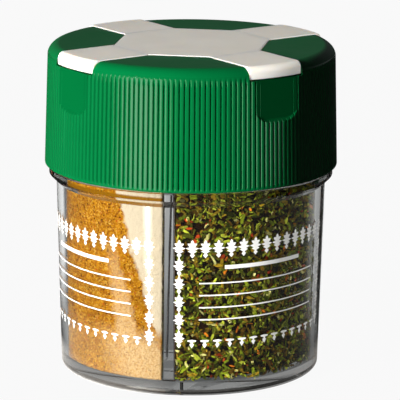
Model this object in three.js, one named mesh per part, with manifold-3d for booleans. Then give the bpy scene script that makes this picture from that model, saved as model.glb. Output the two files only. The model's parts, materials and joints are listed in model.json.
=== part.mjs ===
// Spice shaker with four compartments: a clear divided jar, a ribbed cap with four sifters, and a cross of
// four hinged flaps round a fixed hub. Millimetres, +Z up, origin at the centre of the base.
// The partitions lie along X and Y. The flaps lie on the diagonals, each over its own compartment.

import * as THREE from 'three';
import { mergeVertices } from 'three/addons/utils/BufferGeometryUtils.js';
import Module from 'manifold-3d';

const wasm = await Module();
wasm.setup();

// Fits
const SEAT_GAP = 0.3; // between pieces that seat on each other
const NECK_CLEARANCE = 0.4; // radial, neck to cap bore at the rim
const ARM_CLEARANCE = 0.25; // each side of a flap in its channel

// Jar: compartments
const COMPARTMENT_RADIUS = 28.9; // at the rim
const COMPARTMENT_DRAFT = 0.7; // radius lost from the rim to the floor
const COMPARTMENT_CORNER = 1.6; // upright corners
const COMPARTMENT_FLOOR_EDGE = 1.2; // rounding at the floor
const PARTITION_TOP = 1.6;
const PARTITION_BOTTOM = 2.2;

// Jar: outside
const FOOT_HEIGHT = 0.8; // recess under the floor
const FOOT_WIDTH = 2.4;
const FLOOR_THICKNESS = 2.2;
const BASE_EDGE_RADIUS = 1.2;
const BASE_WALL = 1.5; // at the floor
const BODY_WALL = 2.2; // at the shoulder
const BODY_HEIGHT = 43.7; // base to shoulder
const FLARE_HEIGHT = 1.7; // shoulder to collar
const COLLAR_HEIGHT = 1.9;
const COLLAR_OVERHANG = 2.2; // collar beyond the neck
const COLLAR_ROUND = 0.5;
const NECK_HEIGHT = 24.2; // collar to rim
const NECK_WALL = 1.4;
const RIM_ROUND = 0.5;
const BEAD_HEIGHT = 0.3; // snap bead on the neck
const BEAD_WIDTH = 1.6;
const BEAD_CREST = 0.6; // flat part of the bead
const BEAD_ABOVE_COLLAR = 3;

// Cap
const BORE_DRAFT = 0.4; // bore radius gained from the deck to the skirt edge
const CAP_WALL = 2.0; // skirt edge, bore to the bottom of a groove
const CAP_TAPER = 0.75; // outer radius lost from the skirt edge to the pads
const RIB_COUNT = 180;
const RIB_DEPTH = 0.4;
const GROOVE_SHARE = 0.7; // of the rib pitch
const RIM_BAND = 0.8; // the grooves run out above the skirt edge
const SKIRT_LEAD_IN = 0.5;
const TOP_EDGE_RADIUS = 2.8;
const TOP_EDGE_EASE = 0.05; // the rounding starts just outside the rib tops
const DECK_THICKNESS = 1.6;
const PAD_WALL = 1.6; // the pads are hollow below
const SEAL_WALL = 1.1;
const SEAL_DEPTH = 2.4; // into the compartment

// Sifters and thumb recesses
const HOLE_DIAMETER = 2.4;
const HOLE_RING_COUNT = 6; // round one hole in the middle
const HOLE_PITCH = 3.1;
const DISH_MARGIN = 0.6; // dish beyond the holes
const DISH_DEPTH = 0.6;
const SIFTER_MARGIN = 0.3; // holes to seal
const RECESS_WIDTH = 12.0;
const RECESS_HEIGHT = 10.2; // below the lip
const RECESS_CORNER = 4.4;
const RECESS_DEPTH = 0.6; // below the rib tops, in the middle
const LIP_BACKING = 0.8; // cap wall behind the lip of a flap

// Cross of flaps
const ARM_WIDTH = 14.2;
const HUB_FLAT = 16.7; // axis to the cut corners between arms
const HINGE_RADIUS = 17.0; // axis to the hinge lines
const HINGE_SLIT = 0.3; // hub to flap at the hinge line
const HINGE_WEB = 0.5; // thickness left at the hinge line
const HINGE_NOTCH = 1.0; // width of the sloped notch each side of the line
const FLAP_THICKNESS = 1.6;
const CROSS_PROUD = 0.15; // cross above the pads
const FLAP_EDGE_RADIUS = 1.5;
const LIP_THICKNESS = 0.8;
const LIP_DROP = 1.3; // below the plate of the flap
const PEG_CENTRE = 9;
const PEG_RADIUS = 1.5;
const PEG_BARB = 0.6; // radius gained at the barb
const PEG_BARB_HEIGHT = 1.6;

// Contents
const FILL_LEVEL = 58; // above the base
const FILL_CROWN = 1.2;
const FILL_CROWN_SHARE = 0.5; // of the fill's width, at its highest
const FILL_GAP = 0.3;

// Facets
const ROUND_STEPS = 60;
const EDGE_STEPS = 2; // half the steps of a large edge rounding
const SMALL_EDGE_STEPS = 1;
const FLOOR_EDGE_STEPS = 2;
const CORNER_STEPS = 4;
const WALL_STEPS = 10;
const HOLE_STEPS = 8;
const DISH_STEPS = 24;
const PEG_STEPS = 10;
const OVERCUT = 1; // how far a cutter passes a surface

// Heights
const floorZ = FOOT_HEIGHT + FLOOR_THICKNESS;
const collarLowZ = BODY_HEIGHT + FLARE_HEIGHT;
const collarTopZ = collarLowZ + COLLAR_HEIGHT;
const rimZ = collarTopZ + NECK_HEIGHT;
const skirtZ = collarTopZ + SEAT_GAP;
const deckZ = rimZ + SEAT_GAP; // underside of the deck
const channelZ = deckZ + DECK_THICKNESS;
const plateZ = channelZ + SEAT_GAP; // underside of hub and flaps
const topZ = plateZ + FLAP_THICKNESS;
const padZ = topZ - CROSS_PROUD;
const lipZ = plateZ - LIP_DROP;

// Radii
const neckRadius = COMPARTMENT_RADIUS + NECK_WALL;
const collarRadius = neckRadius + COLLAR_OVERHANG;
const boreTop = neckRadius + NECK_CLEARANCE;
const boreBottom = boreTop + BORE_DRAFT;
const ribBottom = boreBottom + CAP_WALL + RIB_DEPTH; // rib tops at the skirt edge
const backingRadius = boreTop + LIP_BACKING;
const lipInner = backingRadius + SEAT_GAP;
const lipOuter = lipInner + LIP_THICKNESS;
const beyond = ribBottom + OVERCUT; // outside everything
const holeReach = HOLE_PITCH + HOLE_DIAMETER / 2;
const sealInner = COMPARTMENT_RADIUS - SEAT_GAP - SEAL_WALL;
const sifterCentre = sealInner - SIFTER_MARGIN - holeReach;
const dishRadius = holeReach + DISH_MARGIN;
const armHalf = ARM_WIDTH / 2;
const channelHalf = armHalf + ARM_CLEARANCE;
const hubFlatChannel = HUB_FLAT + ARM_CLEARANCE;

const QUARTER = Math.PI / 2;
const ARMS = [
  { place: 'back_right', angle: QUARTER / 2 },
  { place: 'back_left', angle: QUARTER * 1.5 },
  { place: 'front_left', angle: QUARTER * 2.5 },
  { place: 'front_right', angle: QUARTER * 3.5 },
];

// Radius of the rib tops at a height
function ribRadius(z) {
  return ribBottom - (CAP_TAPER * (z - skirtZ)) / (padZ - skirtZ);
}

// Share of the way from the floor to the rim
function rise(z) {
  return (z - floorZ) / (rimZ - floorZ);
}

function compartmentRadius(z) {
  return COMPARTMENT_RADIUS - COMPARTMENT_DRAFT * (1 - rise(z));
}

function partitionHalf(z) {
  return THREE.MathUtils.lerp(PARTITION_BOTTOM, PARTITION_TOP, rise(z)) / 2;
}

// Solids for cutting and joining

function toSolid(geometry) {
  const bare = new THREE.BufferGeometry();
  bare.setAttribute('position', geometry.getAttribute('position'));
  bare.setIndex(geometry.index);
  const merged = mergeVertices(bare);
  const index = merged.index.array;
  const faces = [];
  for (let i = 0; i < index.length; i += 3) {
    const [a, b, c] = index.subarray(i, i + 3);
    if (a !== b && b !== c && c !== a) {
      faces.push(a, b, c);
    }
  }
  const mesh = new wasm.Mesh({
    numProp: 3,
    vertProperties: new Float32Array(merged.getAttribute('position').array),
    triVerts: new Uint32Array(faces),
  });
  return new wasm.Manifold(mesh);
}

function toGeometry(solid) {
  const mesh = solid.getMesh();
  const geometry = new THREE.BufferGeometry();
  geometry.setAttribute('position', new THREE.BufferAttribute(mesh.vertProperties, 3));
  geometry.setIndex(new THREE.BufferAttribute(mesh.triVerts, 1));
  geometry.computeVertexNormals();
  return geometry;
}

// A profile of radius and height, from the axis at the bottom round to the axis at the top
function revolve(path, steps = ROUND_STEPS, edgeSteps = EDGE_STEPS) {
  const geometry = new THREE.LatheGeometry(path.getPoints(edgeSteps), steps);
  return geometry.rotateX(QUARTER);
}

function disc(radius, low, high, steps = ROUND_STEPS) {
  const path = new THREE.Path();
  path.moveTo(0, low);
  path.lineTo(radius, low);
  path.lineTo(radius, high);
  path.lineTo(0, high);
  return toSolid(revolve(path, steps));
}

function prism(shape, low, high) {
  const options = { depth: high - low, bevelEnabled: false, curveSegments: CORNER_STEPS };
  return toSolid(new THREE.ExtrudeGeometry(shape, options).translate(0, 0, low));
}

// A profile of distance from the axis and height, extruded across an arm that points along +X
function acrossArm(shape, width) {
  const options = { depth: width, bevelEnabled: false };
  const geometry = new THREE.ExtrudeGeometry(shape, options);
  return toSolid(geometry.rotateX(QUARTER).translate(0, width / 2, 0));
}

// A closed skin through rings that have equally many points and go round anticlockwise
function loft(rings) {
  const count = rings[0].length;
  const last = (rings.length - 1) * count;
  const faces = [];
  for (let start = 0; start < last; start += count) {
    for (let i = 0; i < count; i += 1) {
      const a = start + i;
      const b = start + ((i + 1) % count);
      faces.push(a, b, b + count, a, b + count, a + count);
    }
  }
  for (const [a, b, c] of THREE.ShapeUtils.triangulateShape(rings[0], [])) {
    faces.push(c, b, a);
  }
  for (const [a, b, c] of THREE.ShapeUtils.triangulateShape(rings.at(-1), [])) {
    faces.push(last + a, last + b, last + c);
  }
  const geometry = new THREE.BufferGeometry().setFromPoints(rings.flat());
  geometry.setIndex(faces);
  return geometry;
}

function turned(solid, angle) {
  return solid.rotate([0, 0, THREE.MathUtils.radToDeg(angle)]);
}

function joined(solids) {
  return solids.reduce((whole, piece) => whole.add(piece));
}

// One copy for each arm
function onArms(solid) {
  return joined(ARMS.map((arm) => turned(solid, arm.angle)));
}

// Compartments

function arcPoints(centreX, centreY, radius, from, to, steps) {
  const curve = new THREE.EllipseCurve(centreX, centreY, radius, radius, from, to);
  return curve.getPoints(steps);
}

// Outline of the compartment between +X and +Y at a height, drawn in by inset
function quadrant(z, inset, level = z) {
  const radius = compartmentRadius(z) - inset;
  const corner = Math.max(COMPARTMENT_CORNER - inset, COMPARTMENT_CORNER / 4);
  const near = partitionHalf(z) + inset + corner;
  const far = Math.sqrt((radius - corner) ** 2 - near ** 2);
  const wallAngle = Math.atan2(near, far);
  const outline = [
    ...arcPoints(near, near, corner, 2 * QUARTER, 3 * QUARTER, CORNER_STEPS),
    ...arcPoints(far, near, corner, -QUARTER, wallAngle, CORNER_STEPS),
    ...arcPoints(0, 0, radius, wallAngle, QUARTER - wallAngle, WALL_STEPS).slice(1, -1),
    ...arcPoints(near, far, corner, QUARTER - wallAngle, 2 * QUARTER, CORNER_STEPS),
  ];
  return outline.map((p) => new THREE.Vector3(p.x, p.y, level));
}

// Rings of the rounded floor edge of a compartment, drawn in by gap
function floorRings(gap) {
  const rings = [];
  for (let step = 0; step <= FLOOR_EDGE_STEPS; step += 1) {
    const angle = (QUARTER * step) / FLOOR_EDGE_STEPS;
    const inset = COMPARTMENT_FLOOR_EDGE * (1 - Math.sin(angle));
    const z = floorZ + COMPARTMENT_FLOOR_EDGE * (1 - Math.cos(angle));
    rings.push(quadrant(z, inset + gap, z + gap));
  }
  return rings;
}

// Jar

function jarProfile() {
  const baseRadius = compartmentRadius(floorZ) + BASE_WALL;
  const bodyRadius = compartmentRadius(BODY_HEIGHT) + BODY_WALL;
  const footOuter = baseRadius - BASE_EDGE_RADIUS;
  const beadZ = collarTopZ + BEAD_ABOVE_COLLAR;
  const path = new THREE.Path();
  path.moveTo(0, FOOT_HEIGHT);
  path.lineTo(footOuter - FOOT_WIDTH - FOOT_HEIGHT, FOOT_HEIGHT);
  path.lineTo(footOuter - FOOT_WIDTH, 0);
  path.lineTo(footOuter, 0);
  path.absarc(footOuter, BASE_EDGE_RADIUS, BASE_EDGE_RADIUS, -QUARTER, 0, false);
  path.lineTo(bodyRadius, BODY_HEIGHT);
  path.lineTo(collarRadius, collarLowZ);
  path.lineTo(collarRadius, collarTopZ - COLLAR_ROUND);
  path.absarc(collarRadius - COLLAR_ROUND, collarTopZ - COLLAR_ROUND, COLLAR_ROUND, 0, QUARTER, false);
  path.lineTo(neckRadius, collarTopZ);
  path.lineTo(neckRadius, beadZ - BEAD_WIDTH / 2);
  path.lineTo(neckRadius + BEAD_HEIGHT, beadZ - BEAD_CREST / 2);
  path.lineTo(neckRadius + BEAD_HEIGHT, beadZ + BEAD_CREST / 2);
  path.lineTo(neckRadius, beadZ + BEAD_WIDTH / 2);
  path.lineTo(neckRadius, rimZ - RIM_ROUND);
  path.absarc(neckRadius - RIM_ROUND, rimZ - RIM_ROUND, RIM_ROUND, 0, QUARTER, false);
  path.lineTo(0, rimZ);
  return path;
}

function makeJar() {
  const pocket = toSolid(loft([...floorRings(0), quadrant(rimZ, 0), quadrant(rimZ, 0, rimZ + OVERCUT)]));
  let jar = toSolid(revolve(jarProfile(), ROUND_STEPS, SMALL_EDGE_STEPS));
  for (let turn = 0; turn < ARMS.length; turn += 1) {
    jar = jar.subtract(turned(pocket, turn * QUARTER));
  }
  return toGeometry(jar);
}

// Contents of the compartment between +X and +Y, heaped a little in the middle
function makeFill() {
  const top = quadrant(FILL_LEVEL, FILL_GAP);
  const middle = new THREE.Vector3();
  top.forEach((p) => middle.addScaledVector(p, 1 / top.length));
  const heap = top.map((p) => p.clone().lerp(middle, 1 - FILL_CROWN_SHARE).setZ(FILL_LEVEL + FILL_CROWN));
  return toGeometry(toSolid(loft([...floorRings(FILL_GAP), top, heap])));
}

// Cap

function ribbedRing(z, depth) {
  const pitch = (2 * Math.PI) / RIB_COUNT;
  const half = (1 - GROOVE_SHARE) / 2;
  const radius = ribRadius(z);
  const points = [];
  for (let rib = 0; rib < RIB_COUNT; rib += 1) {
    const section = [[-0.5, radius - depth], [-half, radius], [half, radius]];
    for (const [share, r] of section) {
      const angle = (rib + share) * pitch;
      points.push(new THREE.Vector3(r * Math.cos(angle), r * Math.sin(angle), z));
    }
  }
  return points;
}

function ribbedBody() {
  const skirtEdge = ribbedRing(skirtZ, 0);
  const grooves = [ribbedRing(skirtZ + RIM_BAND, RIB_DEPTH), ribbedRing(padZ, RIB_DEPTH)];
  return toSolid(loft([skirtEdge, ...grooves]));
}

// Everything under the rounded top edge
function capEnvelope() {
  const edgeZ = padZ - TOP_EDGE_RADIUS;
  const edgeRadius = ribRadius(edgeZ) + TOP_EDGE_EASE;
  const path = new THREE.Path();
  path.moveTo(0, skirtZ - OVERCUT);
  path.lineTo(beyond, skirtZ - OVERCUT);
  path.lineTo(beyond, edgeZ);
  path.lineTo(edgeRadius, edgeZ);
  path.absarc(edgeRadius - TOP_EDGE_RADIUS, edgeZ, TOP_EDGE_RADIUS, 0, QUARTER, false);
  path.lineTo(0, padZ);
  return toSolid(revolve(path));
}

function capBore() {
  const path = new THREE.Path();
  path.moveTo(0, skirtZ - OVERCUT);
  path.lineTo(boreBottom + SKIRT_LEAD_IN, skirtZ - OVERCUT);
  path.lineTo(boreBottom + SKIRT_LEAD_IN, skirtZ);
  path.lineTo(boreBottom, skirtZ + SKIRT_LEAD_IN);
  path.lineTo(boreTop, deckZ);
  path.lineTo(0, deckZ);
  return toSolid(revolve(path));
}

// Outline of the cross: four arms, with the corners between them cut straight
function crossShape(half, flat, reach) {
  const root = Math.SQRT2 * flat - half;
  const points = ARMS.flatMap((arm) => {
    const corners = [[root, -half], [reach, -half], [reach, half], [root, half]];
    return corners.map(([x, y]) => new THREE.Vector2(x, y).rotateAround(new THREE.Vector2(), arm.angle));
  });
  return new THREE.Shape(points);
}

// Hollows under the four pads
function padHollows() {
  const block = disc(boreTop, deckZ - OVERCUT, padZ - PAD_WALL);
  const cross = crossShape(channelHalf + PAD_WALL, hubFlatChannel + PAD_WALL, beyond);
  return block.subtract(prism(cross, deckZ - 2 * OVERCUT, padZ));
}

// A wall that plugs into the mouth of a compartment
function sealRing() {
  const low = rimZ - SEAL_DEPTH;
  const outer = [quadrant(low, SEAT_GAP), quadrant(low, SEAT_GAP, padZ - PAD_WALL / 2)];
  const innerGap = SEAT_GAP + SEAL_WALL;
  const inner = [quadrant(low, innerGap, low - OVERCUT), quadrant(low, innerGap, padZ)];
  return toSolid(loft(outer)).subtract(toSolid(loft(inner)));
}

// Where the lip of a flap drops over the edge
function lipPocket() {
  const shape = new THREE.Shape();
  shape.moveTo(boreTop - armHalf, lipZ - SEAT_GAP);
  shape.lineTo(beyond, lipZ - SEAT_GAP);
  shape.lineTo(beyond, topZ);
  shape.lineTo(boreTop - armHalf, topZ);
  const core = disc(backingRadius, deckZ - 2 * OVERCUT, topZ + OVERCUT);
  return acrossArm(shape, 2 * channelHalf).subtract(core);
}

// Flat hollow under a lip, as steep as the taper of the skirt, with a rounded foot
function thumbRecess() {
  const half = RECESS_WIDTH / 2;
  const foot = RECESS_CORNER - RECESS_HEIGHT;
  const flat = ribRadius(lipZ) - RECESS_DEPTH;
  const shape = new THREE.Shape();
  shape.moveTo(half, 0);
  shape.lineTo(-half, 0);
  shape.lineTo(-half, foot);
  shape.absarc(RECESS_CORNER - half, foot, RECESS_CORNER, 2 * QUARTER, 3 * QUARTER, false);
  shape.absarc(half - RECESS_CORNER, foot, RECESS_CORNER, -QUARTER, 0, false);
  const options = { depth: beyond - flat, bevelEnabled: false, curveSegments: CORNER_STEPS };
  const slab = new THREE.ExtrudeGeometry(shape, options).rotateX(QUARTER).rotateZ(QUARTER);
  const slope = Math.atan2(CAP_TAPER, padZ - skirtZ);
  return toSolid(slab.rotateY(-slope).translate(flat, 0, lipZ));
}

function sifterHoles() {
  const hole = disc(HOLE_DIAMETER / 2, deckZ - OVERCUT, channelZ + OVERCUT, HOLE_STEPS);
  const holes = [hole.translate([sifterCentre, 0, 0])];
  for (let i = 0; i < HOLE_RING_COUNT; i += 1) {
    const angle = (4 * QUARTER * i) / HOLE_RING_COUNT;
    const x = sifterCentre + HOLE_PITCH * Math.cos(angle);
    holes.push(hole.translate([x, HOLE_PITCH * Math.sin(angle), 0]));
  }
  return joined(holes);
}

function makeCap() {
  let cap = ribbedBody().intersect(capEnvelope());
  cap = cap.subtract(capBore()).subtract(padHollows());
  const seal = sealRing();
  for (let turn = 0; turn < ARMS.length; turn += 1) {
    cap = cap.add(turned(seal, turn * QUARTER));
  }
  const dish = disc(dishRadius, channelZ - DISH_DEPTH, channelZ + OVERCUT, DISH_STEPS);
  const pegHole = disc(PEG_RADIUS + SEAT_GAP, deckZ - OVERCUT, channelZ + OVERCUT, PEG_STEPS);
  cap = cap.subtract(prism(crossShape(channelHalf, hubFlatChannel, beyond), channelZ, topZ));
  cap = cap.subtract(onArms(lipPocket()));
  cap = cap.subtract(onArms(thumbRecess()));
  cap = cap.subtract(onArms(dish.translate([sifterCentre, 0, 0])));
  cap = cap.subtract(onArms(sifterHoles()));
  cap = cap.subtract(onArms(pegHole.translate([PEG_CENTRE, 0, 0])));
  return toGeometry(cap);
}

// Cross of flaps

// Peg that snaps through the deck
function hubPeg() {
  const barbZ = deckZ - SEAT_GAP;
  const path = new THREE.Path();
  path.moveTo(0, barbZ - PEG_BARB_HEIGHT);
  path.lineTo(PEG_RADIUS, barbZ - PEG_BARB_HEIGHT);
  path.lineTo(PEG_RADIUS + PEG_BARB, barbZ);
  path.lineTo(PEG_RADIUS, barbZ);
  path.lineTo(PEG_RADIUS, topZ - HINGE_WEB);
  path.lineTo(0, topZ - HINGE_WEB);
  return toSolid(revolve(path, PEG_STEPS)).translate([PEG_CENTRE, 0, 0]);
}

function makeHub() {
  const edge = HINGE_RADIUS - HINGE_SLIT / 2;
  const notch = new THREE.Shape();
  notch.moveTo(edge - HINGE_NOTCH, plateZ);
  notch.lineTo(edge - HINGE_NOTCH, plateZ - OVERCUT);
  notch.lineTo(edge + OVERCUT, plateZ - OVERCUT);
  notch.lineTo(edge + OVERCUT, topZ - HINGE_WEB);
  notch.lineTo(edge, topZ - HINGE_WEB);
  let hub = prism(crossShape(armHalf, HUB_FLAT, edge), plateZ, topZ);
  hub = hub.subtract(onArms(acrossArm(notch, ARM_WIDTH + OVERCUT)));
  return toGeometry(hub.add(onArms(hubPeg())));
}

// A flap that points along +X
function makeFlap() {
  const edge = HINGE_RADIUS + HINGE_SLIT / 2;
  const side = new THREE.Shape();
  side.moveTo(edge, topZ);
  side.lineTo(edge, topZ - HINGE_WEB);
  side.lineTo(edge + HINGE_NOTCH, plateZ);
  side.lineTo(sifterCentre, plateZ);
  side.lineTo(sifterCentre, lipZ);
  side.lineTo(beyond, lipZ);
  side.lineTo(beyond, topZ);
  const outside = new THREE.Path();
  outside.moveTo(0, lipZ);
  outside.lineTo(lipOuter, lipZ);
  outside.lineTo(lipOuter, topZ - FLAP_EDGE_RADIUS);
  outside.absarc(lipOuter - FLAP_EDGE_RADIUS, topZ - FLAP_EDGE_RADIUS, FLAP_EDGE_RADIUS, 0, QUARTER, false);
  outside.lineTo(0, topZ);
  const plug = disc(dishRadius - SEAT_GAP, channelZ - DISH_DEPTH + SEAT_GAP, topZ - HINGE_WEB, DISH_STEPS);
  let flap = acrossArm(side, ARM_WIDTH).intersect(toSolid(revolve(outside)));
  flap = flap.subtract(disc(lipInner, lipZ - OVERCUT, plateZ));
  return toGeometry(flap.add(plug.translate([sifterCentre, 0, 0])));
}

// Materials

function plastic(colour, roughness) {
  return new THREE.MeshStandardMaterial({ color: colour, roughness, metalness: 0 });
}

function clearPlastic() {
  const material = plastic('#dfe4e2', 0.08);
  material.transparent = true;
  material.opacity = 0.28;
  return material;
}

const SPICE_COLOURS = {
  front_left: '#c8843a',
  front_right: '#7f8a3e',
  back_left: '#a8492c',
  back_right: '#8d7a45',
};

function place(parent, name, geometry, material, angle = 0) {
  const mesh = new THREE.Mesh(geometry, material);
  mesh.name = name;
  mesh.rotation.z = angle;
  parent.add(mesh);
}

// Assembly

const shaker = new THREE.Group();
const body = new THREE.Group();
const lid = new THREE.Group();
shaker.add(body, lid);

place(body, 'jar', makeJar(), clearPlastic());
place(lid, 'cap', makeCap(), plastic('#0a8c4b', 0.42));
place(lid, 'flap_hub', makeHub(), plastic('#ebe1d2', 0.45));

for (const { place: corner, angle } of ARMS) {
  place(body, `spice_${corner}`, makeFill(), plastic(SPICE_COLOURS[corner], 0.95), angle - QUARTER / 2);
  place(lid, `flap_${corner}`, makeFlap(), plastic('#ebe1d2', 0.45), angle);
}

export default shaker;
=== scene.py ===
"""Looks of a spice shaker with four compartments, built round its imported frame.

Mesh code works in millimetres, in the axes of the frame. place() turns a finished piece into metres.
"""

import json
import math

import bmesh
import bpy
import numpy as np
from mathutils import Matrix, Quaternion, Vector


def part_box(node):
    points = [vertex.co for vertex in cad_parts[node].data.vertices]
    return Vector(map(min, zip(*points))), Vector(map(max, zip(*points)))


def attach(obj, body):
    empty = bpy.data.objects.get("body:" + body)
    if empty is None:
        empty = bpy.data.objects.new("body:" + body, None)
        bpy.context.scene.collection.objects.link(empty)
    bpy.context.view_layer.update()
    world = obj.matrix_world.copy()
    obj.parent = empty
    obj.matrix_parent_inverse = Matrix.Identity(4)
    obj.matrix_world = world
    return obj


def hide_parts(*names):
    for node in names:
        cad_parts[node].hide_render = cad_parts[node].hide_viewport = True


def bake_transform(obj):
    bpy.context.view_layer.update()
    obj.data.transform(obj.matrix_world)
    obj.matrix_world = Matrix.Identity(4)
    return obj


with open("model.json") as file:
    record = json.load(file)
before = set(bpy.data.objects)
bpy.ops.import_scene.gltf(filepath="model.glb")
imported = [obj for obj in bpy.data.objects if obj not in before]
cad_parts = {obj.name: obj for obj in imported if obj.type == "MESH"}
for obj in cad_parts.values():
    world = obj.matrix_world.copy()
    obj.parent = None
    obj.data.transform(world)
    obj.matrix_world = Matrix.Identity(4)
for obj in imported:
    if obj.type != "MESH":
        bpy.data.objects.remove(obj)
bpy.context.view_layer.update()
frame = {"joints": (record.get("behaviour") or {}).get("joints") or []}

MM = 0.001
QUARTER = math.pi / 2
ARMS = {
    "back_right": QUARTER * 0.5,
    "back_left": QUARTER * 1.5,
    "front_left": QUARTER * 2.5,
    "front_right": QUARTER * 3.5,
}


def node_box(node):
    return [np.array(corner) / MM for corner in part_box(node)]


jar_high = node_box("jar")[1]
cap_low, cap_high = node_box("cap")
hub_high = node_box("flap_hub")[1]
fill_low, fill_high = node_box("spice_front_left")
hinge = next(joint for joint in frame["joints"] if joint["name"] == "hinge_front_left")

# Fits
SEAT_GAP = 0.3
NECK_CLEARANCE = 0.4
ARM_CLEARANCE = 0.12
OVERCUT = 1.0

# Heights
RIM_Z = jar_high[2]
SKIRT_Z = cap_low[2]
PAD_Z = cap_high[2]
TOP_Z = hub_high[2]
FILL_CROWN = 1.2
FILL_Z = fill_high[2] - FILL_CROWN
FLOOR_Z = fill_low[2] - SEAT_GAP
COLLAR_TOP_Z = SKIRT_Z - SEAT_GAP
COLLAR_HEIGHT = 1.9
FLARE_HEIGHT = 1.7
COLLAR_LOW_Z = COLLAR_TOP_Z - COLLAR_HEIGHT
SHOULDER_Z = COLLAR_LOW_Z - FLARE_HEIGHT
DECK_Z = RIM_Z + SEAT_GAP
DECK_THICKNESS = 1.6
CHANNEL_Z = DECK_Z + DECK_THICKNESS
PLATE_Z = CHANNEL_Z + SEAT_GAP
LIP_DROP = 1.3
LIP_Z = PLATE_Z - LIP_DROP

# Jar
COLLAR_RADIUS = jar_high[0]
COLLAR_ROUND = 0.5
COLLAR_OVERHANG = 2.2
NECK_RADIUS = COLLAR_RADIUS - COLLAR_OVERHANG
RIM_ROUND = 0.5
RIM_CHAMFER = 0.2
NECK_WALL = 1.4
COMPARTMENT_RADIUS = NECK_RADIUS - NECK_WALL
COMPARTMENT_DRAFT = 0.7
COMPARTMENT_CORNER = 0.7
FLOOR_EDGE = 0.5
PARTITION_TOP = 1.6
PARTITION_BOTTOM = 2.2
BASE_WALL = 1.5
BODY_WALL = 2.2
BASE_EDGE = 1.2
FOOT_HEIGHT = 0.8
FOOT_WIDTH = 2.4
BEAD_ABOVE_COLLAR = 3.0
BEAD_Z = COLLAR_TOP_Z + BEAD_ABOVE_COLLAR
BEAD_HEIGHT = 0.3
BEAD_WIDTH = 1.6

# Cap
RIB_COUNT = 180
RIB_DEPTH = 0.36
RIB_POINTS = np.array([-0.5, -0.44, -0.38, -0.32, -0.26, -0.13, 0, 0.13, 0.26, 0.32, 0.38, 0.44])
RIB_CREST = 0.52
RIB_CROWN = 0.05
RIB_EASE = 0.1
RIB_END_LOW = 71.2
RIB_END_HIGH = 73.4
DULL_FLANK = 0.5
RIB_RADIUS = cap_high[0]
CAP_TAPER = 0.75
RIM_BAND = 0.8
SKIRT_EDGE_ROUND = 0.25
SKIRT_LEAD_IN = 0.5
BORE_TOP = NECK_RADIUS + NECK_CLEARANCE
BORE_DRAFT = 0.4
BORE_BOTTOM = BORE_TOP + BORE_DRAFT
TOP_EDGE = 2.8
TOP_EDGE_Z = PAD_Z - TOP_EDGE
TOP_EDGE_EASE = 0.05
PAD_WALL = 1.6
PAD_EDGE = 0.15
SEAL_WALL = 1.1
SEAL_DEPTH = 2.4
HOLE_RADIUS = 1.2
HOLE_RING = 6
HOLE_PITCH = 3.1
HOLE_EDGE = 0.12
SIFTER_MARGIN = 0.3
DISH_MARGIN = 0.6
DISH_DEPTH = 0.6
SIFTER_REACH = HOLE_PITCH + HOLE_RADIUS
SIFTER_CENTRE = COMPARTMENT_RADIUS - SEAT_GAP - SEAL_WALL - SIFTER_MARGIN - SIFTER_REACH
DISH_RADIUS = SIFTER_REACH + DISH_MARGIN
RECESS_HALF = 6.6
RECESS_HEIGHT = 10.2
RECESS_CORNER = 4.0
RECESS_DEPTH = 0.56
RECESS_EDGE = 1.2
RECESS_DARKER_HALF = 5.8
LIP_BACKING = 0.8
BACKING_RADIUS = BORE_TOP + LIP_BACKING
BEYOND = RIB_RADIUS + OVERCUT

# Cross of flaps
ARM_HALF = 7.1
CHANNEL_HALF = ARM_HALF + ARM_CLEARANCE
HUB_FLAT = 16.7
HINGE_RADIUS = math.hypot(*hinge["pos_m"][:2]) / MM
HINGE_SLIT = 0.3
HUB_END = HINGE_RADIUS - HINGE_SLIT / 2
FLAP_START = HINGE_RADIUS + HINGE_SLIT / 2
HINGE_WEB = 0.5
HINGE_NOTCH = 1.0
HINGE_OVERLAP = 0.25
WEB_INSET = 0.02
CREASE_DEPTH = 0.015
FLAP_EDGE = 1.5
LIP_INNER = BACKING_RADIUS + SEAT_GAP
LIP_THICKNESS = 0.8
LIP_OUTER = LIP_INNER + LIP_THICKNESS
LIP_ROUND = 0.2
CREAM_EDGE = 0.3
PEG_CENTRE = 9.0
PEG_RADIUS = 1.5
PEG_BARB = 0.6
PEG_BARB_HEIGHT = 1.6

# Labels printed on the jar
LABEL_TURN = math.radians(-1.6)
LABEL_HALF = math.radians(38.55)
LABEL_TOP = 36.4
LABEL_LOW = 11.4
# Half outlines from tip to stalk, as shares of half the width and half the height
LEAF_SIDE = [
    (0.02, 1.0), (0.26, 0.74), (0.18, 0.62), (0.74, 0.6), (0.58, 0.36), (0.36, 0.22), (1.0, 0.08),
    (0.56, -0.08), (0.36, -0.14), (0.7, -0.26), (0.3, -0.42), (0.12, -0.5), (0.38, -0.7), (0.02, -1.0),
]
STUB_SIDE = [
    (0.3, -0.06), (1.0, -0.14), (0.9, -0.26), (0.2, -0.34),
    (0.2, -0.46), (0.5, -0.6), (0.4, -0.7), (0.02, -1.0),
]
LEAF_HALF_WIDTH = 1.44
LEAF_HALF_HEIGHT = 2.05
LEAVES_ACROSS = 15
LEAVES_DOWN = 5
SIDE_LEAF_SHARE = 0.9
STUB_SHARE = 0.7
# Height, thickness and share of the label's width
RULES = [(30.0, 0.9, 0.5), (26.4, 0.3, 0.78), (23.6, 0.3, 0.78), (20.8, 0.3, 0.78), (18.0, 0.3, 0.78)]
RULE_POINTS = 25
PRINT_LIFT = 0.01
PRINT_THICKNESS = 0.02
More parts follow.
